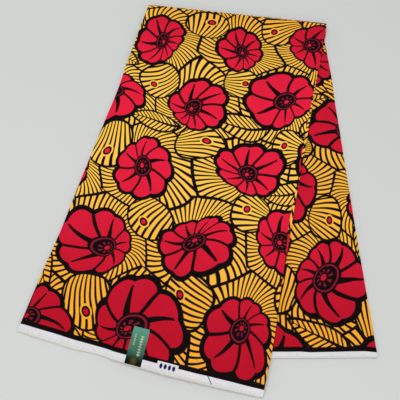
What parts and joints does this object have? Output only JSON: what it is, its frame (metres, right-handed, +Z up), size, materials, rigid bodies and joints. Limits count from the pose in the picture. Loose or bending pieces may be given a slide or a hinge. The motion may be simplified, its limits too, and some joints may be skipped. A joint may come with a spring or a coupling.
{
  "type": "folded ankara fabric",
  "caption": "Length of wax-print ankara cotton, folded back and forth into a strip and turned over once, lying flat with its plain selvedges at the lower ends.",
  "frame": {"origin": "middle of the cloth's footprint, on the surface that it lies on", "axes": "+X along the top fold to the viewer's right, +Y up the cloth's length towards the top fold, +Z up from the surface"},
  "size_m": [0.4408, 0.6006, 0.011],
  "materials": {
    "printed_cotton": "smooth plain-weave cotton with a wax print, slight sheen",
    "folded_cotton": "stacked fold and selvedge edges of plain-weave cotton",
    "foil_sticker": "green metallic foil with a glossy face"
  },
  "bodies": {
    "root": {"front_stretch": "printed_cotton", "back_stretch": "printed_cotton", "hidden_layers": "folded_cotton", "foil_label": "foil_sticker"}
  },
  "joints": []
}
